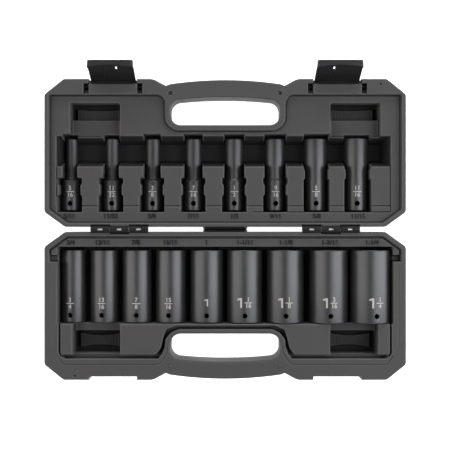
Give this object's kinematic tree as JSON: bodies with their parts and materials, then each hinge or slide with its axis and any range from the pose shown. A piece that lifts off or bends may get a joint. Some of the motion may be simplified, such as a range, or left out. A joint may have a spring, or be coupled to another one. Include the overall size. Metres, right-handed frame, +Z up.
{
  "type": "socket wrench set in case",
  "caption": "Deep impact sockets lying in a hinged moulded case with two latches and a hand opening in each half.",
  "frame": {"origin": "centre of the base half's flat underside", "axes": "+X along the case, +Y from the base half to the opened lid, +Z up"},
  "size_m": [0.3844, 0.3359, 0.0727],
  "materials": {
    "case_plastic": "moulded charcoal plastic",
    "latch_plastic": "satin black plastic",
    "socket_steel": "satin black phosphate on forged steel",
    "pin_steel": "bright drawn steel"
  },
  "bodies": {
    "base": {"base_case": "case_plastic", "hinge_pin_left": "pin_steel", "hinge_pin_right": "pin_steel"},
    "lid": {"lid_case": "case_plastic"},
    "latch_left": {"latch_left": "latch_plastic"},
    "latch_right": {"latch_right": "latch_plastic"},
    "socket_3_4": {"socket_3_4": "socket_steel"},
    "socket_13_16": {"socket_13_16": "socket_steel"},
    "socket_7_8": {"socket_7_8": "socket_steel"},
    "socket_15_16": {"socket_15_16": "socket_steel"},
    "socket_1": {"socket_1": "socket_steel"},
    "socket_1_1_16": {"socket_1_1_16": "socket_steel"},
    "socket_1_1_8": {"socket_1_1_8": "socket_steel"},
    "socket_1_3_16": {"socket_1_3_16": "socket_steel"},
    "socket_1_1_4": {"socket_1_1_4": "socket_steel"},
    "socket_5_16": {"socket_5_16": "socket_steel"},
    "socket_11_32": {"socket_11_32": "socket_steel"},
    "socket_3_8": {"socket_3_8": "socket_steel"},
    "socket_7_16": {"socket_7_16": "socket_steel"},
    "socket_1_2": {"socket_1_2": "socket_steel"},
    "socket_9_16": {"socket_9_16": "socket_steel"},
    "socket_5_8": {"socket_5_8": "socket_steel"},
    "socket_11_16": {"socket_11_16": "socket_steel"}
  },
  "joints": [
    {"name": "lid_hinge", "type": "hinge", "parent": "base", "child": "lid", "pos_m": [0, 0.08132, 0.042], "axis": [-1, 0, 0], "range_deg": [-180, 0]},
    {"name": "latch_left_pivot", "type": "hinge", "parent": "lid", "child": "latch_left", "pos_m": [-0.1194, 0.23372, 0.033], "axis": [-1, 0, 0], "range_deg": [-18, 0]},
    {"name": "latch_right_pivot", "type": "hinge", "parent": "lid", "child": "latch_right", "pos_m": [0.1194, 0.23372, 0.033], "axis": [-1, 0, 0], "range_deg": [-18, 0]},
    {"name": "lift_3_4", "type": "slide", "parent": "base", "child": "socket_3_4", "axis": [0, 0, 1], "range_m": [0, 0.07]},
    {"name": "lift_13_16", "type": "slide", "parent": "base", "child": "socket_13_16", "axis": [0, 0, 1], "range_m": [0, 0.07]},
    {"name": "lift_7_8", "type": "slide", "parent": "base", "child": "socket_7_8", "axis": [0, 0, 1], "range_m": [0, 0.07]},
    {"name": "lift_15_16", "type": "slide", "parent": "base", "child": "socket_15_16", "axis": [0, 0, 1], "range_m": [0, 0.07]},
    {"name": "lift_1", "type": "slide", "parent": "base", "child": "socket_1", "axis": [0, 0, 1], "range_m": [0, 0.07]},
    {"name": "lift_1_1_16", "type": "slide", "parent": "base", "child": "socket_1_1_16", "axis": [0, 0, 1], "range_m": [0, 0.07]},
    {"name": "lift_1_1_8", "type": "slide", "parent": "base", "child": "socket_1_1_8", "axis": [0, 0, 1], "range_m": [0, 0.07]},
    {"name": "lift_1_3_16", "type": "slide", "parent": "base", "child": "socket_1_3_16", "axis": [0, 0, 1], "range_m": [0, 0.07]},
    {"name": "lift_1_1_4", "type": "slide", "parent": "base", "child": "socket_1_1_4", "axis": [0, 0, 1], "range_m": [0, 0.07]},
    {"name": "lift_5_16", "type": "slide", "parent": "lid", "child": "socket_5_16", "axis": [0, 0, 1], "range_m": [0, 0.07]},
    {"name": "lift_11_32", "type": "slide", "parent": "lid", "child": "socket_11_32", "axis": [0, 0, 1], "range_m": [0, 0.07]},
    {"name": "lift_3_8", "type": "slide", "parent": "lid", "child": "socket_3_8", "axis": [0, 0, 1], "range_m": [0, 0.07]},
    {"name": "lift_7_16", "type": "slide", "parent": "lid", "child": "socket_7_16", "axis": [0, 0, 1], "range_m": [0, 0.07]},
    {"name": "lift_1_2", "type": "slide", "parent": "lid", "child": "socket_1_2", "axis": [0, 0, 1], "range_m": [0, 0.07]},
    {"name": "lift_9_16", "type": "slide", "parent": "lid", "child": "socket_9_16", "axis": [0, 0, 1], "range_m": [0, 0.07]},
    {"name": "lift_5_8", "type": "slide", "parent": "lid", "child": "socket_5_8", "axis": [0, 0, 1], "range_m": [0, 0.07]},
    {"name": "lift_11_16", "type": "slide", "parent": "lid", "child": "socket_11_16", "axis": [0, 0, 1], "range_m": [0, 0.07]}
  ]
}
